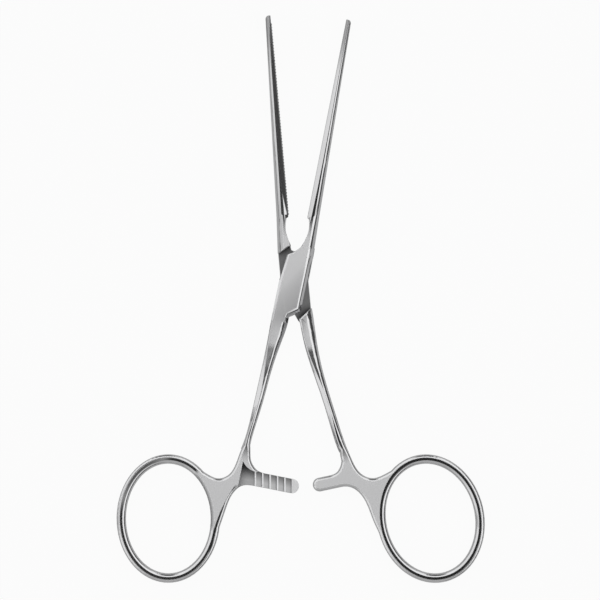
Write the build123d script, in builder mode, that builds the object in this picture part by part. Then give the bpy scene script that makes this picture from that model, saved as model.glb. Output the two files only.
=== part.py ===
from build123d import *
from math import cos, hypot, radians, sin
import os

# Straight vascular clamp with ring handles, a box lock and a ratchet, shown open. Sizes are in mm.
# Each half is drawn closed: x runs across the clamp from the pin axis, y towards the jaw tips,
# and z from the rear to the front. Each half is then turned about the pin axis into the open pose.

# Open pose: how far each half is turned from the closed clamp, in degrees
box_half_turn = 11.16
tongue_half_turn = 5.1

# Thickness through the clamp; the rear face of the box is z = 0. Cuts run past their face by overrun.
box_thickness = 5.0
handle_thickness = 3.3
mid_plane = box_thickness / 2
tall = 4 * box_thickness
overrun = 1.0

# Jaws: from the pin axis to the tips, with a straight taper in width and in thickness
jaw_reach = 71.0
jaw_root_width = 3.75
jaw_tip_width = 1.38
jaw_tip_thickness = 2.3
jaw_tip_radius = 0.9
jaw_taper_start = 18.0
toothed_face_start = 17.4
toothed_face_end = 69.4
relief_depth = 0.6
relief_step = 0.35
jaw_clearance = 0.05
box_jaw_flare = 0.08
tongue_jaw_flare = 0.25

# Jaw teeth: two rows with a groove between them on one jaw, and a toothed ridge in it on the other
jaw_tooth_pitch = 0.8
jaw_tooth_depth = 0.16
jaw_groove_width = 0.5
jaw_row_width = 0.38
jaw_groove_depth = 0.34
jaw_crest_drop = 0.02
jaw_ridge_width = 0.34
jaw_ridge_height = 0.22

# Box: its walls, its bevels, and the crotch where the jaw rises from it
box_half_width = 3.62
front_wall_step = 0.37
box_upper_corner = (-3.24, 6.84)
box_left_edge = -4.0
box_left_lower_edge = -4.1
crotch_start = (-1.7, 7.95)
crotch_middle = (-0.72, 8.8)
crotch_end = (0.05, 9.8)
crotch_rise = (0.42, 1)
box_lower_corner = -7.15
box_apex = (-0.1, -9.7)
wide_bevel = 0.95
thin_bevel = 0.25
slit_width = 0.5

# Slot through the box, the tongue that turns in it, and the pin
tongue_thickness = 1.9
slot_side_clearance = 0.05
slot_crotch = 9.1
slot_top = 10.4
slot_right_end = 7.05
slot_stop_corner = (-4.2, -1.5)
slot_lower_end = -10.9
tongue_left_edge = -3.6
tongue_left_corner = -2.2
tongue_right_edge = 3.7
shoulder_gap = 0.17
jaw_shoulder = (-3.6, 7.95)
jaw_shoulder_crotch = (-0.9, 9.6)
jaw_shoulder_drop = 5.0
jaw_foot_height = 9.72
pin_diameter = 2.5
pin_running_clearance = 0.03

# Finger rings
ring_band = 2.45
ring_edge_radius = 1.0
web_seat = 0.85
box_ring_centre = (-20.65, -67.9)
box_ring_width = 22.5
box_ring_length = 29.1
box_ring_lean = 11.5
tongue_ring_centre = (30.4, -65.6)
tongue_ring_width = 23.5
tongue_ring_length = 29.4
tongue_ring_lean = 8.0

# Webs and ratchet arms: the arms lie over each other, tooth to tooth, when the clamp closes
plate_edge_radius = 0.8
shank_end = -46.0
arm_top = -51.25
arm_width = 3.8
box_arm_tip = 11.7
box_arm_step = -4.15
box_arm_recess_top = -49.1
recess_radius = 0.6
box_arm_first_tooth = -0.26
tongue_arm_tip = 0.1
tongue_arm_width = 3.65
tongue_arm_height = -54.0
tongue_arm_lean = 7.0
tooth_face_clearance = 0.1
tooth_depth = 0.45
tooth_pitch = 2.0
tooth_count = 6
tooth_slant = 11.16
pocket_gap = 0.4
pocket_mouth = 5.4
rear_tooth_start = 8.1
rear_tooth_count = 4


def between(start, end, share):
    return start + (end - start) * share


def bar(stations):
    """A ground bar: flat front and rear, a straight bevel to its left edge, a rounded one to its right."""
    with BuildPart() as made:
        for y, left, right, left_bevel, right_bevel, half, left_half, right_half, roundness in stations:
            flat_left = left + left_bevel
            flat_right = right - right_bevel
            crown = (between(flat_right, right, roundness), between(right_half, half, roundness))
            with BuildSketch(Plane(origin=(0, y, mid_plane), x_dir=(1, 0, 0), z_dir=(0, -1, 0))):
                with BuildLine():
                    Polyline((flat_right, -half), (flat_left, -half), (left, -left_half),
                             (left, left_half), (flat_left, half), (flat_right, half))
                    ThreePointArc((flat_right, half), crown, (right, right_half))
                    Line((right, right_half), (right, -right_half))
                    ThreePointArc((right, -right_half), (crown[0], -crown[1]), (flat_right, -half))
                make_face()
        loft()
    return made.part


def block(outline, bottom, top):
    """A straight block of one outline, used to cut or to fill."""
    with BuildPart() as made:
        with BuildSketch(Plane.XY.offset(bottom)):
            with BuildLine():
                Polyline(*outline, close=True)
            make_face()
        extrude(amount=top - bottom)
    return made.part


# Along a jaw: the place, the shares of its width that the inner and outer bevels take, and how round
# the outer one is
jaw_bevels = ((slot_right_end, 0.04, 0.36, 0.55), (jaw_taper_start, 0.30, 0.38, 0.60),
              (32, 0.40, 0.40, 0.62), (50, 0.42, 0.40, 0.62), (jaw_reach, 0.42, 0.40, 0.62))


def tooth_strip(base, root, crest, middle, width):
    """A strip along the jaw, filled from x = base to a row of fine teeth between root and crest."""
    first = toothed_face_start + jaw_tooth_pitch / 2
    count = int((toothed_face_end - first) / jaw_tooth_pitch)
    profile = [(base, first)]
    for number in range(count):
        y = first + number * jaw_tooth_pitch
        profile += [(root, y), (crest, y + jaw_tooth_pitch / 2)]
    last = first + count * jaw_tooth_pitch
    return block(profile + [(root, last), (base, last)], middle - width / 2, middle + width / 2)


def jaw(root_flare, ridged):
    """One jaw, with its toothed inner face near x = 0 and its rounded back on the right."""
    stations = []
    for y, inner_share, outer_share, roundness in jaw_bevels:
        width = between(jaw_root_width, jaw_tip_width, y / jaw_reach)
        width += root_flare if y == slot_right_end else 0
        rise = max(0, y - jaw_taper_start) / (jaw_reach - jaw_taper_start)
        half = between(box_thickness, jaw_tip_thickness, rise) / 2
        stations.append((y, jaw_clearance, width, inner_share * width, outer_share * width,
                         half, half * (0.95 - 0.8 * inner_share), 0.45 * half, roundness))
    with BuildPart() as made:
        add(bar(stations[:2]))
        add(bar(stations[1:]))
        # The tip is rounded on its back
        with BuildSketch(Plane.XY.offset(mid_plane - tall / 2)):
            with BuildLine():
                back = (jaw_tip_width + 0.03, jaw_reach - jaw_tip_radius)
                end = (jaw_tip_width - jaw_tip_radius, jaw_reach)
                RadiusArc(back, end, -jaw_tip_radius * 1.02)
                Polyline(end, (jaw_tip_width + overrun, jaw_reach), (jaw_tip_width + overrun, back[1]), back)
            make_face()
        extrude(amount=tall, mode=Mode.SUBTRACT)
        # The hollow below the toothed face runs down into the crotch
        with BuildSketch(Plane.XY.offset(mid_plane - tall / 2)):
            with BuildLine():
                step = (relief_depth, toothed_face_start - relief_step)
                Line((0, toothed_face_start), step)
                Spline(step, (1.02, 15.0), (0.95, 12.9), (0.52, 11.2), crotch_end,
                       tangents=[(0.3, -1), (-crotch_rise[0], -crotch_rise[1])])
                Polyline(crotch_end, (-overrun, crotch_end[1]), (-overrun, toothed_face_start),
                         (0, toothed_face_start))
            make_face()
        extrude(amount=tall, mode=Mode.SUBTRACT)
        if ridged:
            add(tooth_strip(jaw_clearance + jaw_groove_depth, jaw_clearance - jaw_ridge_height + jaw_tooth_depth,
                            jaw_clearance - jaw_ridge_height, mid_plane, jaw_ridge_width))
        else:
            groove_floor = jaw_clearance + jaw_groove_depth
            groove_start = toothed_face_start - overrun
            groove = ((-overrun, groove_start), (groove_floor, groove_start), (groove_floor, toothed_face_end),
                      (-overrun, toothed_face_end))
            add(block(groove, mid_plane - jaw_groove_width / 2, mid_plane + jaw_groove_width / 2),
                mode=Mode.SUBTRACT)
            for side in (-1, 1):
                middle = mid_plane + side * (jaw_groove_width + jaw_row_width) / 2
                crest = jaw_clearance + jaw_crest_drop
                add(tooth_strip(-overrun, crest + jaw_tooth_depth, crest, middle, jaw_row_width),
                    mode=Mode.SUBTRACT)
    return made.part


def ring_point(centre, lean, width, length, angle):
    """The place on a ring's band, near its outer edge, where the outline of the web ends."""
    reach = web_seat * ring_band
    along = Vector((width / 2 + reach) * cos(radians(angle)), (length / 2 + reach) * sin(radians(angle)))
    return Vector(*centre) + along.rotate(Axis.Z, lean)


def handle(outline, centre, lean, width, length):
    """A handle forged in one: the web and its arm with an oval finger ring, all edges rolled."""
    with BuildPart() as made:
        with BuildSketch(Plane.XY.offset(mid_plane - handle_thickness / 2)):
            add(outline)
            with Locations(Location((*centre, 0), (0, 0, lean))):
                Ellipse(width / 2 + ring_band, length / 2 + ring_band)
                Ellipse(width / 2, length / 2, mode=Mode.SUBTRACT)
        extrude(amount=handle_thickness)
        rims = made.edges().filter_by(Plane.XY)
        fillet(rims.filter_by(lambda edge: not edge.is_closed), radius=plate_edge_radius)
        rims = made.edges().filter_by(Plane.XY)
        fillet(rims.filter_by(lambda edge: edge.is_closed), radius=ring_edge_radius)
    return made.part


def tooth_cut(start, first, count, end, side):
    """What is cut away over a toothed face: from its start, over steep slanted teeth, to its end."""
    crest = mid_plane - side * tooth_face_clearance / 2
    root = crest - side * tooth_depth
    clear = crest + side * box_thickness
    direction = 1 if end > start else -1
    profile = [(start, clear), (start, root)]
    for number in range(count):
        place = (first + direction * number * tooth_pitch) * cos(radians(tooth_slant))
        profile += [(place, root), (place, crest)]
    profile += [(end, crest), (end, clear)]
    across = Vector(1, 0).rotate(Axis.Z, tooth_slant)
    down = Vector(0, -1).rotate(Axis.Z, tooth_slant)
    with BuildPart() as made:
        with BuildSketch(Plane(origin=(0, arm_top - arm_width / 2, 0), x_dir=across, z_dir=down)):
            with BuildLine():
                Polyline(*profile, close=True)
            make_face()
        extrude(amount=3 * arm_width, both=True)
    return made.part


# Box half: both walls of the box, the jaw on the right, the shank and the ring on the left
def box_wall(right_edge, bottom, top, outer_face):
    """One wall of the box, bevelled wide on its open side and lower edge, and thin on its left side."""
    with BuildPart() as made:
        with BuildSketch(Plane.XY.offset(bottom)):
            with BuildLine():
                Spline(crotch_start, crotch_middle, crotch_end, tangents=[(1, 0.65), crotch_rise])
                Polyline(crotch_end, (right_edge, crotch_end[1]), (right_edge, box_lower_corner), box_apex,
                         (box_apex[0], slot_lower_end), (box_left_lower_edge, slot_lower_end),
                         (box_left_edge, 0), box_upper_corner, crotch_start)
            make_face()
        extrude(amount=top - bottom)
        rim = made.edges().filter_by_position(Axis.Z, outer_face, outer_face)
        open_side = rim.filter_by(Axis.Y).sort_by(Axis.X)[-1:]
        lower_side = rim.filter_by(lambda edge: edge.center().X > 0 > box_lower_corner > edge.center().Y)
        chamfer(open_side + lower_side, length=wide_bevel)
        rim = made.edges().filter_by_position(Axis.Z, outer_face, outer_face)
        chamfer(rim.filter_by(lambda edge: edge.center().X < box_upper_corner[0]), length=thin_bevel)
    return made.part


box_ring = (box_ring_centre, box_ring_lean, box_ring_width, box_ring_length)
with BuildSketch() as box_plate_outline:
    with BuildLine():
        apex = Vector(-4.0, -41)
        outer = Vector(-5.3, -46.5)
        inner = Vector(-2.9, -45.5)
        arm_end = box_arm_tip - arm_width / 2
        l1 = Spline(outer, (-6.15, -51.3), (-7.45, -53.7), (-10.0, -54.95), (-12.8, -54.35),
                    ring_point(*box_ring, 62.5), tangents=[outer - apex, (-3, 1.6)])
        l2 = Polyline(l1 @ 1, box_ring_centre, ring_point(*box_ring, -16.6))
        l3 = Spline(l2 @ 1, (-6.2, -62.5), (-5.25, -58.3), (-3.6, -55.95), (0.2, arm_top - arm_width),
                    tangents=[(0.12, 1), (1, 0)])
        l4 = Line(l3 @ 1, (arm_end, arm_top - arm_width))
        l5 = RadiusArc(l4 @ 1, (arm_end, arm_top), -arm_width / 2)
        l6 = Line(l5 @ 1, (2.2, arm_top))
        l7 = Spline(l6 @ 1, (-0.75, -50.3), (-2.15, -48.5), inner, tangents=[(-1, 0), apex - inner])
        l8 = Polyline(inner, apex, outer)
    make_face()

with BuildSketch() as box_arm_room:
    with BuildLine():
        apex = (box_arm_step, box_arm_recess_top)
        shoulder = (0.4, arm_top + 0.05)
        Polyline((box_arm_step, arm_top - 2 * arm_width), apex)
        ThreePointArc(apex, (box_arm_step + 1.5, arm_top + 0.65), shoulder)
        arm_past = box_arm_tip + 2 * overrun
        Polyline(shoulder, (shoulder[0], arm_top + arm_width), (arm_past, arm_top + arm_width),
                 (arm_past, arm_top - 2 * arm_width), (box_arm_step, arm_top - 2 * arm_width))
    make_face()

slot_half = tongue_thickness / 2 + slot_side_clearance
slot_outline = ((-tall, slot_top), (jaw_clearance, slot_top), (jaw_clearance, slot_crotch),
                (box_half_width, slot_right_end), (tall, slot_right_end), (tall, slot_lower_end),
                (0, slot_lower_end), slot_stop_corner, (-tall, slot_stop_corner[1]))
shank_half = ((-7, 2.5, 2.2, 1.3, 0.56), (-13, 2.45, 2.1, 1.25, 0.6), (-20, 2.3, 1.85, 1.15, 0.62),
              (-28, 2.05, 1.4, 1.0, 0.62), (-37, 1.85, 1.1, 0.85, 0.62),
              (shank_end, handle_thickness / 2 - 0.05, 0.9, 0.8, 0.62))


def shank(edges, left_bevels, right_bevels):
    """A shank between left and right edges, thinner and more ridged towards the handle."""
    stations = []
    for (left, right), left_bevel, right_bevel, (y, half, left_half, right_half, roundness) in zip(
            edges, left_bevels, right_bevels, shank_half):
        stations.append((y, left, right, left_bevel, right_bevel, half, left_half, right_half, roundness))
    return bar(stations)


with BuildPart() as box_half_closed:
    add(box_wall(box_half_width, 0, mid_plane, 0))
    add(box_wall(box_half_width - front_wall_step, mid_plane, box_thickness, box_thickness))
    add(jaw(box_jaw_flare, False))
    add(shank(((-4.05, 0.0), (-4.08, 0.22), (-4.02, -0.9), (-4.18, -1.68), (-4.42, -2.45), (-5.35, -3.0)),
              (0.3, 0.3, 0.5, 1.05, 0.8, 1.0), (1.3, 1.6, 1.2, 1.0, 0.87, 0.9)))
    add(handle(box_plate_outline.sketch, *box_ring))
    add(block(slot_outline, mid_plane - slot_half, mid_plane + slot_half), mode=Mode.SUBTRACT)
    # The slot's lower end shows past the front wall's edge
    slit_left = box_apex[0] - slit_width / 2
    slit = ((slit_left, box_apex[1]), (slit_left + tall, box_apex[1]), (slit_left + tall, slot_lower_end),
            (slit_left, slot_lower_end))
    add(block(slit, mid_plane, tall), mode=Mode.SUBTRACT)
    with BuildSketch(Plane.XY.offset(-overrun)):
        Circle(pin_diameter / 2)
    extrude(amount=box_thickness + 2 * overrun, mode=Mode.SUBTRACT)

with BuildPart() as box_arm_cut:
    add(tooth_cut(box_arm_step - 2 * overrun, box_arm_first_tooth, tooth_count, arm_past, 1))
    with BuildSketch(Plane.XY):
        add(box_arm_room.sketch)
    extrude(amount=2 * box_thickness, mode=Mode.INTERSECT)
    floor = box_arm_cut.edges().group_by(Axis.Z)[0].filter_by(GeomType.CIRCLE)
    fillet(floor, radius=recess_radius)

with BuildPart() as box_half:
    add(box_half_closed.part - box_arm_cut.part, rotation=(0, 0, -box_half_turn))
box_half.part.label = "box_half"

# Tongue half: the jaw on the left, the tongue in the box, the shank and the ring on the right
arm_along = Vector(1, 0).rotate(Axis.Z, tongue_arm_lean)
arm_across = Vector(0, 1).rotate(Axis.Z, tongue_arm_lean)
tongue_arm_half = tongue_arm_width / 2
arm_centre = Vector(tongue_arm_tip + tongue_arm_half, tongue_arm_height)
tongue_ring = (tongue_ring_centre, tongue_ring_lean, tongue_ring_width, tongue_ring_length)
with BuildSketch() as tongue_plate_outline:
    with BuildLine():
        apex = Vector(8.4, -41)
        outer = Vector(10.45, -46.5)
        inner = Vector(8.05, -45.5)
        arm_foot = arm_centre - arm_across * tongue_arm_half
        arm_head = arm_centre + arm_across * tongue_arm_half
        t1 = Spline(outer, (11.7, -50.0), (13.4, -52.4), (16.3, -53.6), (19.2, -52.9),
                    ring_point(*tongue_ring, 114.7), tangents=[outer - apex, (3, 1.6)])
        t2 = Polyline(t1 @ 1, tongue_ring_centre, ring_point(*tongue_ring, 193.6))
        t3 = Spline(t2 @ 1, (15.1, -64.4), (12.9, -58.1), (10.8, -55.85), arm_foot + arm_along * 5.5,
                    tangents=[(-0.35, 1), -arm_along])
        t4 = Line(t3 @ 1, arm_foot)
        t5 = ThreePointArc(arm_foot, arm_centre - arm_along * tongue_arm_half, arm_head)
        t6 = Line(arm_head, arm_head + arm_along * 3.2)
        t7 = Spline(t6 @ 1, (7.2, -50.7), (8.2, -48.4), inner, tangents=[arm_along, apex - inner])
        t8 = Polyline(inner, apex, outer)
    make_face()

# Rear pocket and teeth of its arm, which take the other arm when the clamp closes
pocket_end = box_arm_tip + pocket_gap
pocket_top = arm_top + pocket_gap
pocket_foot = arm_top - arm_width - pocket_gap
pocket_radius = (pocket_top - pocket_foot) / 2
with BuildSketch() as tongue_arm_room:
    with BuildLine():
        Polyline((pocket_end - pocket_radius, pocket_top), (pocket_mouth + 1, pocket_top),
                 (pocket_mouth, arm_top + arm_width), (-arm_width, arm_top + arm_width),
                 (-arm_width, arm_top - 2 * arm_width), (pocket_mouth, arm_top - 2 * arm_width),
                 (pocket_mouth + 0.6, pocket_foot), (pocket_end - pocket_radius, pocket_foot))
        RadiusArc((pocket_end - pocket_radius, pocket_foot), (pocket_end - pocket_radius, pocket_top),
                  -pocket_radius)
    make_face()

with BuildPart() as tongue_arm_cut:
    add(tooth_cut(pocket_end + overrun, rear_tooth_start, rear_tooth_count, -arm_width, -1))
    with BuildSketch(Plane.XY.offset(mid_plane - tall / 2)):
        add(tongue_arm_room.sketch)
    extrude(amount=tall, mode=Mode.INTERSECT)

# Shoulders: what stands clear of the box while the tongue turns in it
box_edge = (Vector(box_half_width - front_wall_step, box_lower_corner) - Vector(*box_apex)).normalized()
shoulder_reach = hypot(box_half_width, box_lower_corner) + shoulder_gap
shoulder_foot = Vector(box_edge.Y, -box_edge.X) * shoulder_reach
shoulder_low = shoulder_foot - box_edge * tall
shoulder_high = shoulder_foot + box_edge * tall
shoulder_outline = ((-tall, jaw_shoulder[1] - jaw_shoulder_drop), jaw_shoulder, jaw_shoulder_crotch,
                    (0, jaw_foot_height), (tall, jaw_foot_height),
                    (shoulder_high.X, shoulder_high.Y), (shoulder_low.X, shoulder_low.Y))

tongue_outline = ((tongue_left_edge, tongue_left_corner), (tongue_left_edge, jaw_shoulder[1] + 0.6),
                  (-1.0, 10.2), (-0.2, 10.2), (0.0, 8.6), (tongue_right_edge, 6.5),
                  (tongue_right_edge + 0.1, -9.0), (0.6, -11.0), (0.05, -10.2))

with BuildPart() as tongue_half_closed:
    add(mirror(jaw(tongue_jaw_flare, True), about=Plane.YZ, mode=Mode.PRIVATE))
    add(shank(((0.42, 4.0), (0.72, 4.37), (1.8, 4.87), (3.75, 6.15), (5.75, 8.05), (7.85, 10.3)),
              (0.3, 0.3, 0.5, 1.0, 1.0, 0.95), (1.6, 1.75, 1.35, 1.05, 0.95, 1.0)))
    add(block(shoulder_outline, mid_plane - tall, mid_plane + tall), mode=Mode.SUBTRACT)
    add(handle(tongue_plate_outline.sketch, *tongue_ring))
    add(block(tongue_outline, mid_plane - tongue_thickness / 2, mid_plane + tongue_thickness / 2))
    with BuildSketch(Plane.XY.offset(-overrun)):
        Circle(pin_diameter / 2 + pin_running_clearance)
    extrude(amount=box_thickness + 2 * overrun, mode=Mode.SUBTRACT)

with BuildPart() as tongue_half:
    add(tongue_half_closed.part - tongue_arm_cut.part, rotation=(0, 0, tongue_half_turn))
tongue_half.part.label = "tongue_half"

# Pin: riveted into both walls of the box and ground flush with them
with BuildPart() as lock_pin:
    with BuildSketch(Plane.XY):
        Circle(pin_diameter / 2)
    extrude(amount=box_thickness)
lock_pin.part.label = "lock_pin"

os.makedirs("parts", exist_ok=True)
export_step(box_half.part, "parts/box_half.step")
export_step(tongue_half.part, "parts/tongue_half.step")
export_step(lock_pin.part, "parts/lock_pin.step")
for name, made in (("box_half", box_half), ("tongue_half", tongue_half), ("lock_pin", lock_pin)):
    print(name, made.part.is_valid, made.part.volume, len(made.part.solids()), made.part.bounding_box())
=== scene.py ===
# %% [markdown]
# This lesson dresses a straight vascular clamp: two ground steel halves that cross in a box lock and
# turn on a riveted pin. The three solids come from the frame, already at their real size and in the
# open pose. Blender adds what a hand feels and an eye sees: broken edges, satin flats and bright rolls.

# %% Load the frame
import math

import bmesh
import bpy
from mathutils import Matrix, Vector
from mathutils.bvhtree import BVHTree


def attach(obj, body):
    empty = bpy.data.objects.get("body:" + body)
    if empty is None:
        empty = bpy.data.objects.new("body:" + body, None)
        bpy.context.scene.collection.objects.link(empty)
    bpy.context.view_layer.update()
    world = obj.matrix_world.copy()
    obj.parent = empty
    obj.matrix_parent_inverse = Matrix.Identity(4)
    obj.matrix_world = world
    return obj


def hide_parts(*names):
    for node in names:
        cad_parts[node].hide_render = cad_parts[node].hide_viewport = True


MM = 0.001
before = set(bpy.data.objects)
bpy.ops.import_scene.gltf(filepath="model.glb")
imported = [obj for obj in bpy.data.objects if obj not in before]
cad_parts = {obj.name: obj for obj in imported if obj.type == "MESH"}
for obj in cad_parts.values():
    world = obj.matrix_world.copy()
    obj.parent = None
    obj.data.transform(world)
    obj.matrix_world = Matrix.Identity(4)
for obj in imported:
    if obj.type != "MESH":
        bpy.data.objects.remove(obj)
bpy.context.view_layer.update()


print("nodes:", sorted(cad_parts))

# %% [markdown]
# The clamp lies flat on a white table and the camera looks straight down on it, as in a catalogue.
# A long lens from 1.6 m keeps the rings from looking larger than the tips. An orthographic camera would
# do that too, but the long lens is what a photographer has. The view is 159 mm wide, and its centre lies
# a little right of the pin and below it.

# %% Camera
VIEW_WIDTH = 159.0 * MM
VIEW_CENTRE = Vector((1.5, -4.7, 3.0)) * MM
CAMERA_HEIGHT = 1.6
SENSOR_WIDTH = 36.0
FARTHEST_SEEN = 20.0
scene = bpy.context.scene
camera_data = bpy.data.cameras.new("catalogue_camera")
camera_data.sensor_width = SENSOR_WIDTH
camera_data.lens = SENSOR_WIDTH * CAMERA_HEIGHT / VIEW_WIDTH
camera_data.clip_end = FARTHEST_SEEN
camera = bpy.data.objects.new("catalogue_camera", camera_data)
camera.location = VIEW_CENTRE + Vector((0, 0, CAMERA_HEIGHT))
scene.collection.objects.link(camera)
scene.camera = camera
print("lens:", round(camera_data.lens), "mm")

# %% [markdown]
# Materials are written as sums and products. A small class wraps a socket, so that an expression
# such as 0.3 + 0.1 * grain adds the Math nodes for it. Joining nodes by hand would do the same, but a
# formula can be read and changed in one place.

# %% A socket that takes part in sums


class Socket:
    """A value on its way through a node tree."""

    def __init__(self, tree, link):
        self.tree = tree
        self.link = link

    def maths(self, operation, other=0.0, swapped=False):
        first, second = (other, self) if swapped else (self, other)
        made = make_node(self.tree, "ShaderNodeMath", {"operation": operation}, {0: first, 1: second})
        return made["Value"]

    def __add__(self, other):
        return self.maths("ADD", other)

    def __radd__(self, other):
        return self.maths("ADD", other)

    def __sub__(self, other):
        return self.maths("SUBTRACT", other)

    def __rsub__(self, other):
        return self.maths("SUBTRACT", other, swapped=True)

    def __mul__(self, other):
        return self.maths("MULTIPLY", other)

    def __rmul__(self, other):
        return self.maths("MULTIPLY", other)

    def __pow__(self, other):
        return self.maths("POWER", other)

    def __abs__(self):
        return self.maths("ABSOLUTE")


print("a socket can be added, subtracted, multiplied, raised to a power and made positive")

# %% [markdown]
# One function makes any other node from its type, its settings and what goes into its sockets. Two more
# are used all the time: one turns a stretch of a value into a mask from 0 to 1, and one goes from one
# value to another by such a mask.

# %% Nodes, masks and blends


def make_node(tree, kind, settings=None, inputs=None):
    """Adds a node: its settings first, then the values or links of its sockets."""
    node = tree.nodes.new(kind)
    for name, value in (settings or {}).items():
        setattr(node, name, value)
    for name, value in (inputs or {}).items():
        target = node.inputs[name]
        if isinstance(value, Socket):
            tree.links.new(value.link, target)
        else:
            target.default_value = value
    return {output.name: Socket(tree, output) for output in node.outputs if output.enabled}


def new_material(name):
    """An empty material and its node tree."""
    material = bpy.data.materials.new(name)
    material.use_nodes = True
    material.node_tree.nodes.clear()
    return material, material.node_tree


def clamped(value, low, high):
    """Maps low to 0 and high to 1, and holds the ends. Low may be the larger of the two."""
    mapped = make_node(value.tree, "ShaderNodeMapRange", {"clamp": True},
                       {"Value": value, "From Min": low, "From Max": high})
    return mapped["Result"]


def blended(amount, low, high):
    """Goes from low to high as the amount goes from 0 to 1."""
    return low + amount * (high - low)


print("helpers:", [helper.__name__ for helper in (make_node, new_material, clamped, blended)])

# %% [markdown]
# Each half was ground and polished by itself, so a finish belongs to its half and moves with it. The
# material reads Object coordinates and turns them back to the closed clamp, in millimetres: x runs
# across the clamp and y along it, with 0 at the pin and the tips upward. A painted map could say the
# same, but masks built on two coordinates stay sharp at any size.

# %% Where a point lies on its half
HALVES = {
    "box_half": {"turn": 11.16, "centre": (-20.65, -67.9), "lean": 11.5, "width": 22.5, "length": 29.1,
                 "web_line": True},
    "tongue_half": {"turn": -5.1, "centre": (30.4, -65.6), "lean": 8.0, "width": 23.5, "length": 29.4,
                    "web_line": False},
}
THICKNESS = 5.0
MIDDLE = THICKNESS / 2


def closed_place(tree, turn):
    """Object coordinates in millimetres, turned back to the closed clamp, whole and axis by axis."""
    place = make_node(tree, "ShaderNodeTexCoord")["Object"]
    settled = make_node(tree, "ShaderNodeMapping", {"vector_type": "POINT"},
                        {"Vector": place, "Rotation": (0.0, 0.0, math.radians(turn)),
                         "Scale": (1 / MM, 1 / MM, 1 / MM)})["Vector"]
    axes = make_node(tree, "ShaderNodeSeparateXYZ", None, {"Vector": settled})
    return settled, axes["X"], axes["Y"], axes["Z"]


def upwardness(tree):
    """1 on a face that looks straight up or down, 0 on an upright wall."""
    facing = make_node(tree, "ShaderNodeNewGeometry")["Normal"]
    return abs(make_node(tree, "ShaderNodeSeparateXYZ", None, {"Vector": facing})["Z"])


for half_name, half in HALVES.items():
    print(half_name, "turned back by", half["turn"], "degrees, ring", half["width"], "mm wide inside")

# %% [markdown]
# A finger ring is rolled all round, and the wheel leaves one bright line along the crest of the roll. The
# ring is an ellipse that leans a little, so the distance from the middle of its band is worked out from
# the place of its centre, its lean and its two widths. On the left half the web joins the ring over a
# span that faces the lock, and there the crest line gives way to satin.

# %% Round a finger ring
RING_BAND = 2.45
WEB_DIRECTION = math.radians(34.0)
WEB_SPREAD = 0.80
WEB_SPAN_ENDS = (-0.2, 0.6)


def ring_distance(x, y, half):
    """How far a place is from the middle of the finger ring's band, in millimetres, outward positive."""
    lean = math.radians(half["lean"])
    right = x - half["centre"][0]
    up = y - half["centre"][1]
    across = right * math.cos(lean) + up * math.sin(lean)
    along = up * math.cos(lean) - right * math.sin(lean)
    wide = (half["width"] + RING_BAND) / 2
    long = (half["length"] + RING_BAND) / 2
    reach = ((across * (1 / wide)) ** 2.0 + (along * (1 / long)) ** 2.0) ** 0.5
    return (reach - 1.0) * ((wide + long) / 2)


def web_share(x, y, half):
    """1 over the span of the left ring that the web joins, 0 over the rest of it."""
    right = x - half["centre"][0]
    up = y - half["centre"][1]
    reach = (right * right + up * up) ** 0.5
    ahead = right * math.cos(WEB_DIRECTION) + up * math.sin(WEB_DIRECTION)
    return clamped(ahead - WEB_SPREAD * reach, *WEB_SPAN_ENDS)


print("each ring's band is", RING_BAND, "mm wide")

# %% [markdown]
# Surgical steel is ground on a fine belt and then blasted with glass beads, so its flats are satin: light
# grey, with a soft sheen. A soft wheel then buffs the jaws, the shanks, the rings and every rolled edge.
# So satin is left on flat faces only: on the box with the feet of its jaws and shanks, on the webs and
# ratchet arms, and beside the crest line of the rings. On the left web the wheel leaves a second bright
# line, which curves up from the ring.

# %% Satin flats
FLAT = (0.985, 0.998)
BOX_LOW = -17.9
BOX_HIGH = 15.0
BOX_LOW_EDGE = (BOX_LOW - 1.2, BOX_LOW + 0.8)
BOX_HIGH_EDGE = (BOX_HIGH + 3.0, BOX_HIGH - 3.0)
SHANK_END = -46.5
WEB_EDGE = (SHANK_END + 2.5, SHANK_END - 2.5)
CREST_LINE = (0.26, 0.5)
WEB_LINE = (0.22, 0.42)
WEB_LINE_FOOT = -63.0
WEB_LINE_TOP = (-56.5, -55.5)
WEB_LINE_CURVE = (0.01338, 0.2314, -7.05)


def web_line_x(y):
    """The curve that the bright line follows on the left web."""
    bend, slope, start = WEB_LINE_CURVE
    rise = y - WEB_LINE_FOOT
    return rise * rise * bend + rise * slope + start


def satin_share(x, y, flat, on_web, half):
    """1 where the belt's satin is left, 0 where the wheel has buffed it bright."""
    on_box = clamped(y, *BOX_LOW_EDGE) * clamped(y, *BOX_HIGH_EDGE)
    beside_crest = clamped(abs(ring_distance(x, y, half)), *CREST_LINE)
    if half["web_line"]:
        beside_crest = beside_crest.maths("MAXIMUM", web_share(x, y, half))
        beside_line = clamped(abs(x - web_line_x(y)), *WEB_LINE)
        beside_crest = beside_crest * beside_line.maths("MAXIMUM", clamped(y, *WEB_LINE_TOP))
    return flat * on_box.maths("MAXIMUM", on_web * beside_crest)


print("satin on the box from", BOX_LOW, "to", BOX_HIGH, "mm and below", SHANK_END, "mm")
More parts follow.
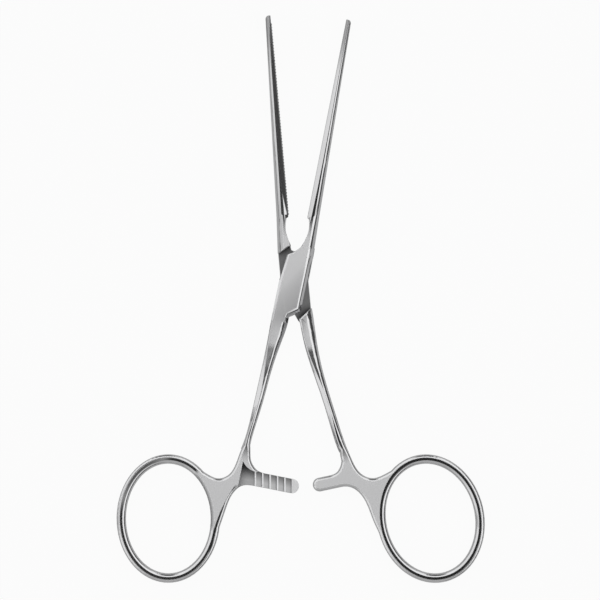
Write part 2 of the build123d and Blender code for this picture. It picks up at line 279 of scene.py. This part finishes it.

# %% [markdown]
# Some places never meet the wheel. The slot of the box lock is milled and left dull, and its colour is
# painted dark as shade. The teeth of the ratchet are milled across the inner faces of the arms, and the
# inside of the left ring stays dull behind the web, where its colour is also painted darker as shade. The
# satin of the box fades out down the shanks, and the tips of the jaws are duller, because they are too
# fine to be pressed on the wheel. Each place gets a mask of its own.

# %% Places that the wheel leaves dull
SLOT_DEPTH = (1.75, 1.65)
SLOT_REACH = (13.0, 12.0)
MILLED_DEPTH = (0.75, 0.65)
MILLED_TILT = (0.5, 0.7)
TOOTH_TIP_DEPTH = (0.17, 0.10)
FADING_LOW = (-32.0, BOX_LOW)
FADING_HIGH = (12.0, 8.0)
TIP = (57.0, 66.0)
INNER_ROLL = (-0.3, -0.6)


def inner_roll_share(x, y, half):
    """1 on the inner roll of the left ring where the web stands behind it."""
    if not half["web_line"]:
        return 0.0
    return web_share(x, y, half) * clamped(ring_distance(x, y, half), *INNER_ROLL)


def dull_places(x, y, depth, upward, flat, on_web, half):
    """A mask from 0 to 1 for each such place, and one for the painted highlight on the teeth's crests."""
    return {
        "fading": flat * clamped(y, *FADING_LOW) * clamped(y, *FADING_HIGH),
        "slot": flat * clamped(depth, *SLOT_DEPTH) * clamped(abs(y), *SLOT_REACH),
        "milled": clamped(upward, *MILLED_TILT) * clamped(depth, *MILLED_DEPTH) * on_web,
        "painted_tooth_highlight": clamped(depth, *TOOTH_TIP_DEPTH),
        "inner_roll": inner_roll_share(x, y, half),
        "tip": clamped(y, *TIP),
    }


print("the slot reaches", SLOT_REACH[0], "mm from the pin, the dull tips start at", TIP[0], "mm")

# %% [markdown]
# A belt leaves a grain almost too fine to see, drawn out along the clamp, and polishing leaves broad
# clouds. Both are noise textures, because real scratches would be far too many to model. The corners of
# the slot and of the ratchet catch less light, and ambient occlusion finds them. It looks at its own half
# only, so the shade doesn't change when the clamp opens.

# %% Grain, clouds and corners
GRAIN_STRETCH = (6.0, 0.5, 6.0)
CLOUD_SCALE = 0.12
CORNER_REACH = 2.2 * MM


def steel_textures(tree, settled):
    """The grain, the clouds and the shade of corners, each from 0 to 1."""
    stretched = make_node(tree, "ShaderNodeMapping", None,
                          {"Vector": settled, "Scale": GRAIN_STRETCH})["Vector"]
    grain = make_node(tree, "ShaderNodeTexNoise", None,
                      {"Vector": stretched, "Scale": 1.0, "Detail": 3.0, "Roughness": 0.6})["Fac"]
    cloud = make_node(tree, "ShaderNodeTexNoise", None,
                      {"Vector": settled, "Scale": CLOUD_SCALE, "Detail": 2.0, "Roughness": 0.5})["Fac"]
    corner_shade = make_node(tree, "ShaderNodeAmbientOcclusion", {"samples": 8, "only_local": True},
                             {"Distance": CORNER_REACH})["AO"]
    return grain, cloud, corner_shade


print("corners darken within", round(CORNER_REACH / MM, 1), "mm")

# %% [markdown]
# The base colour of a metal is the colour of its reflections. Steel is a light, faintly blue grey, a
# little paler where it is satin. The box's plate is painted darker from its upper left to its lower
# right, as painted shade. The slot and the ratchet are painted dark as shade, and the crests of the teeth
# carry a painted highlight, nearly white.

# %% The tone of the steel
BRIGHT_TONE = 0.72
SATIN_TONE = 0.82
TIP_DARKENING = 0.3
CLOUD_TONE = 0.05
GRAIN_TONE = 0.02
INNER_ROLL_SHADE_TONE = 0.5
SLOT_PAINTED_SHADE_TONE = 0.22
SLOT_SHADE_POWER = 3.0
TOOTH_CREST_PAINTED_HIGHLIGHT = 0.98
ARM_SHADE_HEIGHTS = (-50.8, -53.8)
ARM_PAINTED_SHADE_TONES = (0.1, 0.6)
ARM_CORNERS = (0.3, 1.0)
FALL_ACROSS = 0.83
FALL_DOWN = 0.56
PLATE_PAINTED_SHADE = 0.36
PLATE_FALL = (-1.5, 6.0)
PLATE_LOW_EDGE = (-14.0, -9.0)
PLATE_HIGH_EDGE = (14.0, 4.0)


def down_right(x, y):
    """Grows from the box plate's upper left corner to its lower right one, in millimetres."""
    return x * FALL_ACROSS - y * FALL_DOWN


def plate_shade(x, y):
    """Painted shade on the box plate: 0 at its upper left, 1 at its lower right, and 0 again beyond its
    two ends.
    """
    on_plate = clamped(y, *PLATE_LOW_EDGE) * clamped(y, *PLATE_HIGH_EDGE)
    return clamped(down_right(x, y), *PLATE_FALL) * on_plate


def steel_tone(x, y, satin, dull, grain, cloud, corner_shade):
    """How much light the steel reflects, from 0 to 1, with painted shade and one painted highlight in it.
    """
    tone = blended(satin, BRIGHT_TONE, SATIN_TONE) - TIP_DARKENING * dull["tip"]
    tone = tone + CLOUD_TONE * cloud + GRAIN_TONE * grain
    # painted shade: the left ring's inner roll is darkened behind the web, beside its duller finish
    tone = blended(dull["inner_roll"], tone, INNER_ROLL_SHADE_TONE)
    # painted shade: the plate's satin is darkened towards its lower right
    tone = tone * (1.0 - PLATE_PAINTED_SHADE * plate_shade(x, y) * satin)
    # painted shade: the slot's colour is darkened, most of all in its corners
    tone = blended(dull["slot"], tone, SLOT_PAINTED_SHADE_TONE * corner_shade ** SLOT_SHADE_POWER)
    # painted shade: the ratchet arms are darker towards their upper edge and in their corners
    arm_painted_shade = blended(clamped(y, *ARM_SHADE_HEIGHTS), *ARM_PAINTED_SHADE_TONES) * blended(corner_shade, *ARM_CORNERS)
    # painted highlight: the crests of the ratchet's teeth are coloured nearly white
    return blended(dull["milled"], tone, blended(dull["painted_tooth_highlight"], arm_painted_shade, TOOTH_CREST_PAINTED_HIGHLIGHT))


print("bright steel reflects", BRIGHT_TONE, "and satin steel", SATIN_TONE)

# %% [markdown]
# Satin and bright steel differ most in roughness, which spreads the reflections. The plate of the box is
# ground by hand on a slack belt, so it falls off towards its lower right. Its outline doesn't show that,
# and the solid keeps it flat, so a Bump node leans the normals there, by up to 11 degrees.

# %% Roughness and the slack belt's fall
BRIGHT_ROUGHNESS = 0.11
SATIN_ROUGHNESS = 0.29
GRAIN_ROUGHNESS = 0.03
FADING_SHARE = 0.22
TIP_SHARE = 0.7
GRAIN_HEIGHT = 0.0006
FALL = {"From Min": -3.0, "From Max": 13.0, "To Min": 0.0, "To Max": -1.7}


def steel_roughness(satin, dull, grain):
    """Rough where any of the masks leaves the steel dull, smooth elsewhere."""
    soft = satin.maths("MAXIMUM", dull["slot"]).maths("MAXIMUM", dull["milled"])
    soft = soft.maths("MAXIMUM", dull["fading"] * FADING_SHARE)
    soft = soft.maths("MAXIMUM", dull["inner_roll"]).maths("MAXIMUM", dull["tip"] * TIP_SHARE)
    return BRIGHT_ROUGHNESS + SATIN_ROUGHNESS * soft + GRAIN_ROUGHNESS * grain


def steel_normal(tree, x, y, satin, grain):
    """Normals that lean with the plate's fall and follow the grain of the satin."""
    fall = make_node(tree, "ShaderNodeMapRange", {"interpolation_type": "SMOOTHERSTEP"},
                     {"Value": down_right(x, y), **FALL})["Result"]
    height = fall + grain * satin * GRAIN_HEIGHT
    return make_node(tree, "ShaderNodeBump", None,
                     {"Height": height, "Strength": 1.0, "Distance": MM})["Normal"]


print("roughness goes from", BRIGHT_ROUGHNESS, "to", round(BRIGHT_ROUGHNESS + SATIN_ROUGHNESS, 2))

# %% [markdown]
# The parts of the finish come together in one material for each half. Two materials are needed, because
# each half is turned back by its own angle and its ring has its own place. The pin is ground flush with
# the box and polished over with it, so it takes the box's steel.

# %% Steel for each half
BLUE_OVER_RED = 1.01


def steel(name, half):
    """One half's steel: its own material, with every zone in its place."""
    material, tree = new_material(name)
    settled, x, y, z = closed_place(tree, half["turn"])
    upward = upwardness(tree)
    flat = clamped(upward, *FLAT)
    on_web = clamped(y, *WEB_EDGE)
    satin = satin_share(x, y, flat, on_web, half)
    dull = dull_places(x, y, abs(z - MIDDLE), upward, flat, on_web, half)
    grain, cloud, corner_shade = steel_textures(tree, settled)
    tone = steel_tone(x, y, satin, dull, grain, cloud, corner_shade)
    colour = make_node(tree, "ShaderNodeCombineColor", None,
                       {"Red": tone, "Green": tone, "Blue": tone * BLUE_OVER_RED})["Color"]
    roughness = steel_roughness(satin, dull, grain)
    normal = steel_normal(tree, x, y, satin, grain)
    shader = make_node(tree, "ShaderNodeBsdfPrincipled", None,
                       {"Base Color": colour, "Metallic": 1.0, "Roughness": roughness,
                        "Normal": normal})["BSDF"]
    make_node(tree, "ShaderNodeOutputMaterial", None, {"Surface": shader})
    print(name, "nodes:", len(tree.nodes))
    return material


box_steel = steel("box_steel", HALVES["box_half"])
tongue_steel = steel("tongue_steel", HALVES["tongue_half"])
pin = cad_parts["lock_pin"]
pin.data.materials.clear()
pin.data.materials.append(box_steel)

# %% [markdown]
# No real edge is perfectly sharp: buffing breaks it, and the broken edge catches the light as a thin
# line. A Bevel modifier would break every edge alike, but here the width depends on the edge: 0.5 mm
# round the box's ground plate, 0.3 mm along its rim and along the sides of jaws and shanks, and 0.12 mm
# elsewhere. An edge's kind is told from its place in the closed clamp and from the faces it joins. Places
# are in millimetres from the pin, and a tilt is the upward part of a normal: 0 on a wall, 1 on a flat.

# %% Kinds of edges
SHARP = math.radians(24)
BREAKS = {"side": (0.3 * MM, 3), "rim": (0.3 * MM, 3), "plate": (0.5 * MM, 4), "other": (0.12 * MM, 3)}
JAW = (19.0, 68.5)
SHANK = (-44.0, -13.0)
BOX = (-12.5, 16.0)
WALL_END = (-11.2, -10.6)
WALL_END_SIDES = (-4.0, -0.6)
TEETH_START = 16.5
TOOTH_EDGE = 1.0 * MM
PIN_HOLE = 1.4
RIDGE_FACES = (0.3, 0.95)
FOOT_START = 8.0
FOOT_WIDTH = 1.8
CLOSING_FACE = 0.6
NEAR_FACE = 2.2
LONG_EDGE = 1.5 * MM
WALL_TILT = 0.12
RIM_TILT = 0.2
FACE_TILT = 0.99


def within(value, span):
    """True between the two ends of a span."""
    return span[0] < value < span[1]


def middle_of(edge, turned):
    """The middle of an edge in the closed clamp, in millimetres."""
    return turned @ ((edge.verts[0].co + edge.verts[1].co) / 2) / MM


def on_dark_ridge(edge, turned):
    """True along the left jaw's inner ridge, which the wheel leaves crisp."""
    middle = middle_of(edge, turned)
    inward = max([(turned.to_3x3() @ face.normal).x for face in edge.link_faces], default=0.0)
    return within(middle.y, JAW) and middle.x < -CLOSING_FACE and within(inward, RIDGE_FACES)


def left_crisp(edge, turned):
    """True for the jaws' fine teeth, the pin's hole, the end of the box's wall and the dark ridge."""
    middle = middle_of(edge, turned)
    tooth = middle.y > TEETH_START and abs(middle.x) < CLOSING_FACE and edge.calc_length() < TOOTH_EDGE
    pin_hole = middle.xy.length < PIN_HOLE
    wall_end = within(middle.y, WALL_END) and within(middle.x, WALL_END_SIDES)
    return tooth or pin_hole or wall_end or on_dark_ridge(edge, turned)


def kind_of_edge(edge, turned):
    """What a sharp edge belongs to, or None where it stays as it is."""
    if len(edge.link_faces) != 2 or edge.calc_face_angle() < SHARP or left_crisp(edge, turned):
        return None
    middle = middle_of(edge, turned)
    tilts = sorted(abs(face.normal.z) for face in edge.link_faces)
    at_face = abs(middle.z - MIDDLE) > NEAR_FACE
    along = (within(middle.y, JAW) or within(middle.y, SHANK)) and abs(middle.x) > CLOSING_FACE
    if tilts[0] < WALL_TILT and along and not at_face and edge.calc_length() > LONG_EDGE:
        return "side"
    near_foot = middle.y > FOOT_START and abs(middle.x) < FOOT_WIDTH
    if within(middle.y, BOX) and at_face and tilts[1] > FACE_TILT and not near_foot:
        return "rim" if tilts[0] < RIM_TILT else "plate"
    return "other"


for kind, (width, steps) in BREAKS.items():
    print("broken", kind, "edges:", round(width / MM, 2), "mm wide, in", steps, "steps")

# %% [markdown]
# A frame object's mesh is never changed, so each half is copied. The copy's loose triangles are welded,
# and triangles that lie in one plane are joined into one face, so that a bevel runs along a whole edge.
# Where three edges meet at a fine point a bevel may shoot out, so every corner is checked against the
# solid, drawn back to it where it went too far, and kept between the clamp's two faces.

# %% Weld, bevel and draw back
WELD = 0.002 * MM
NO_LENGTH = 0.001 * MM
SAME_PLANE = math.radians(0.1)
MOST_OUTSIDE = 0.02 * MM
MOST_INSIDE = 0.2 * MM


def bevel_by_kind(steel_mesh, turned):
    """Bevels each kind of edge by its own width and says how many of each kind there were."""
    counts = []
    for kind, (width, steps) in BREAKS.items():
        edges = [edge for edge in steel_mesh.edges if kind_of_edge(edge, turned) == kind]
        bmesh.ops.bevel(steel_mesh, geom=edges, offset=width, offset_type="OFFSET", segments=steps,
                        profile=0.5, affect="EDGES", clamp_overlap=False, material=-1)
        counts.append((kind, len(edges)))
    return counts


def draw_back(steel_mesh, solid):
    """Moves corners that left the solid back to it, and says how many there were."""
    drawn_back = 0
    for corner in steel_mesh.verts:
        nearest, normal, _, distance = solid.find_nearest(corner.co)
        outside = (corner.co - nearest).dot(normal) > 0.0
        if distance > (MOST_OUTSIDE if outside else MOST_INSIDE):
            corner.co = nearest
            drawn_back += 1
        corner.co.z = min(max(corner.co.z, 0.0), THICKNESS * MM)
    return drawn_back


def polished_mesh(node_name, turned):
    """A welded and bevelled copy of a node's mesh."""
    steel_mesh = bmesh.new()
    steel_mesh.from_mesh(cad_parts[node_name].data)
    bmesh.ops.remove_doubles(steel_mesh, verts=steel_mesh.verts[:], dist=WELD)
    bmesh.ops.dissolve_degenerate(steel_mesh, edges=steel_mesh.edges[:], dist=NO_LENGTH)
    solid = BVHTree.FromBMesh(steel_mesh)
    bmesh.ops.dissolve_limit(steel_mesh, angle_limit=SAME_PLANE, verts=steel_mesh.verts[:],
                             edges=steel_mesh.edges[:])
    counts = bevel_by_kind(steel_mesh, turned)
    drawn_back = draw_back(steel_mesh, solid)
    print(node_name, "edges broken:", counts, "corners drawn back:", drawn_back)
    return steel_mesh


print("a corner may lie outside the solid by", round(MOST_OUTSIDE / MM, 2), "mm")

# %% [markdown]
# Smooth shading rounds the bevels, and weighted normals keep the broad faces flat beside them. The dark
# ridge of the left jaw is marked sharp at a smaller angle than other edges, because smoothing would
# spread light over it. Each finished copy rides on its half's body and stands in for the solid.

# %% Halves that stand in for the solids
SMOOTH = math.radians(40)
FACE_WEIGHT = 80


def broken_edges(node_name, turn, material, body):
    """Makes the polished copy of a node, and lets it ride in the node's place."""
    turned = Matrix.Rotation(math.radians(turn), 3, "Z")
    steel_mesh = polished_mesh(node_name, turned)
    for face in steel_mesh.faces:
        face.smooth = True
    for edge in steel_mesh.edges:
        limit = SHARP if on_dark_ridge(edge, turned) else SMOOTH
        edge.smooth = edge.calc_face_angle(0.0) < limit
    mesh = bpy.data.meshes.new("polished_" + node_name)
    steel_mesh.to_mesh(mesh)
    steel_mesh.free()
    mesh.materials.append(material)
    piece = bpy.data.objects.new("polished_" + node_name, mesh)
    scene.collection.objects.link(piece)
    weighted = piece.modifiers.new("flat_faces", "WEIGHTED_NORMAL")
    weighted.keep_sharp = True
    weighted.weight = FACE_WEIGHT
    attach(piece, body)
    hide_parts(node_name)
    print(piece.name, "faces:", len(mesh.polygons))


broken_edges("box_half", HALVES["box_half"]["turn"], box_steel, "box_side")
broken_edges("tongue_half", HALVES["tongue_half"]["turn"], tongue_steel, "tongue_side")

# %% [markdown]
# The table is a plain sheet of paper. Light strong enough to make it white would burn out the steel, so
# white is mixed over the paper by the kind of ray: nearly all of it for the camera, a fifth of it in the
# steel's reflections. The rest is a diffuse floor, which still takes the clamp's shadow.

# %% Table
TABLE_SIZE = 3.0
PAPER = (0.5, 0.5, 0.5, 1.0)
WHITE = (1.0, 1.0, 1.0, 1.0)
WHITE_TO_CAMERA = 0.95
WHITE_IN_STEEL = 0.2


def white_table():
    """A sheet under the clamp that the camera sees as white."""
    sheet = bmesh.new()
    bmesh.ops.create_grid(sheet, x_segments=1, y_segments=1, size=TABLE_SIZE)
    mesh = bpy.data.meshes.new("table")
    sheet.to_mesh(mesh)
    sheet.free()
    table = bpy.data.objects.new("table", mesh)
    scene.collection.objects.link(table)
    material, tree = new_material("white_table")
    ray = make_node(tree, "ShaderNodeLightPath")
    seen = ray["Is Glossy Ray"].maths("MAXIMUM", ray["Is Transmission Ray"]) * WHITE_IN_STEEL
    seen = seen.maths("MAXIMUM", ray["Is Camera Ray"] * WHITE_TO_CAMERA)
    paper = make_node(tree, "ShaderNodeBsdfDiffuse", None, {"Color": PAPER})["BSDF"]
    white = make_node(tree, "ShaderNodeEmission", None, {"Color": WHITE, "Strength": 1.0})["Emission"]
    both = make_node(tree, "ShaderNodeMixShader", None, {0: seen, 1: paper, 2: white})["Shader"]
    make_node(tree, "ShaderNodeOutputMaterial", None, {"Surface": both})
    mesh.materials.append(material)
    return table


table = white_table()
print("the table has", len(table.data.vertices), "corners and lies at the height of the clamp's rear")

# %% [markdown]
# Polished metal shows nothing but its surroundings, so the studio is half of the finish. Lamps would give
# small hard glints, and a world painted by direction gives broad soft bands. Two angles are enough for
# it: how far a direction leans from straight up, and to which side, counted from the right, with the
# tips at 90 degrees and the rings at -90.

# %% Directions in the studio
DEGREES = 180 / math.pi
RIGHT_SIDE = (-6.0, 80.0, 45.0)
LEFT_SIDE = (100.0, 135.0)
world = bpy.data.worlds.new("studio")
scene.world = world
world.use_nodes = True
world.node_tree.nodes.clear()
sky = world.node_tree
direction = make_node(sky, "ShaderNodeTexCoord")["Generated"]
axes = make_node(sky, "ShaderNodeSeparateXYZ", None, {"Vector": direction})
lean = axes["Z"].maths("ARCCOSINE") * DEGREES
side = axes["Y"].maths("ARCTAN2", axes["X"]) * DEGREES


def towards(middle, outer, inner):
    """1 within the inner angle from the middle of a side, 0 beyond the outer one."""
    return clamped(abs(side - middle), outer, inner)


right_side = towards(*RIGHT_SIDE)
left_side = clamped(abs(side), *LEFT_SIDE)
print("the studio has a right side, a left side and", len(sky.nodes), "nodes for them")

# %% [markdown]
# Straight above hangs the dark camera, and round it a bright white tent. The tent ends sooner on the
# right, where its dark edge draws the black lines along the rolled edges. A screen at the lower right
# darkens the bevels that face it, and a gap towards the tips darkens the ends of ledges. Each dark place
# has a share, which is how much of the tent's light it takes, and a mask. The spans are in degrees.

# %% Dark places in the tent
RIGHT_EDGE = (62.0, 70.0)
RIGHT_EDGE_DROP = 9.0
RIGHT_EDGE_STEP = (-9.0, -3.0)
LEFT_EDGE = (74.0, 88.0)
FAR_LEFT = (-164.0, -171.0)
FAR_LEFT_LEAN = (15.0, 25.0)
RINGS_SIDE = (-90.0, 60.0, 25.0)
SCREEN_SIDE = (-43.0, 27.0, 12.0)
SCREEN_TOP = (9.0, 20.0)
SCREEN_FOOT = (38.0, 28.0)
TIPS_SIDE = (90.0, 20.0, 9.0)
TIPS_LEAN = (34.0, 48.0)
right_edge = clamped(lean + RIGHT_EDGE_DROP * clamped(side, *RIGHT_EDGE_STEP), *RIGHT_EDGE) * right_side
screen_height = clamped(lean, *SCREEN_TOP) * clamped(lean, *SCREEN_FOOT)
dark_places = {
    "right edge": (0.94, right_edge),
    "left edge": (0.7, clamped(lean, *LEFT_EDGE) * left_side),
    "side of the rings": (0.55, towards(*RINGS_SIDE)),
    "left side": (0.16, left_side),
    "far left": (0.36, clamped(side, *FAR_LEFT) * clamped(lean, *FAR_LEFT_LEAN)),
    "lower right screen": (0.92, towards(*SCREEN_SIDE) * screen_height),
    "gap at the tips": (0.9, towards(*TIPS_SIDE) * clamped(lean, *TIPS_LEAN)),
}
print("dark places:", {name: share for name, (share, _) in dark_places.items()})

# %% [markdown]
# The tent's light starts outside the dark camera, which reaches further to the right, and loses the share
# of each dark place. Below the horizon lies the table, so little of the tent is left there, and a faint
# glow rises from the floor instead.

# %% Light that is left
CAMERA_RIM = (5.0, 12.0)
CAMERA_REACHES_RIGHT = 5.0
HORIZON = (92.0, 78.0)
BELOW_HORIZON = 0.25
FLOOR_GLOW = 0.08
FLOOR_GLOW_RISE = (84.0, 94.0)
level = clamped(lean - CAMERA_REACHES_RIGHT * right_side, *CAMERA_RIM)
for share, dark in dark_places.values():
    level = level * (1.0 - share * dark)
level = level * blended(clamped(lean, *HORIZON), BELOW_HORIZON, 1.0)
level = level + FLOOR_GLOW * clamped(lean, *FLOOR_GLOW_RISE)
print("below the horizon", BELOW_HORIZON, "of the tent's light is left")

# %% [markdown]
# The clamp sees the painted studio, and the camera sees plain white behind the table's edge, so that the
# background stays white from every side.

# %% World
STUDIO_STRENGTH = 1.08
studio_light = {"Color": level, "Strength": STUDIO_STRENGTH}
light = make_node(sky, "ShaderNodeBackground", None, studio_light)["Background"]
backdrop = make_node(sky, "ShaderNodeBackground", None, {"Color": WHITE, "Strength": 1.0})["Background"]
seen_by_camera = make_node(sky, "ShaderNodeLightPath")["Is Camera Ray"]
both = make_node(sky, "ShaderNodeMixShader", None, {0: seen_by_camera, 1: light, 2: backdrop})["Shader"]
make_node(sky, "ShaderNodeOutputWorld", None, {"Surface": both})
print("studio nodes:", len(sky.nodes))

# %% [markdown]
# The Standard view shows colours as they are written.

# %% Render settings
scene.view_settings.view_transform = "Standard"
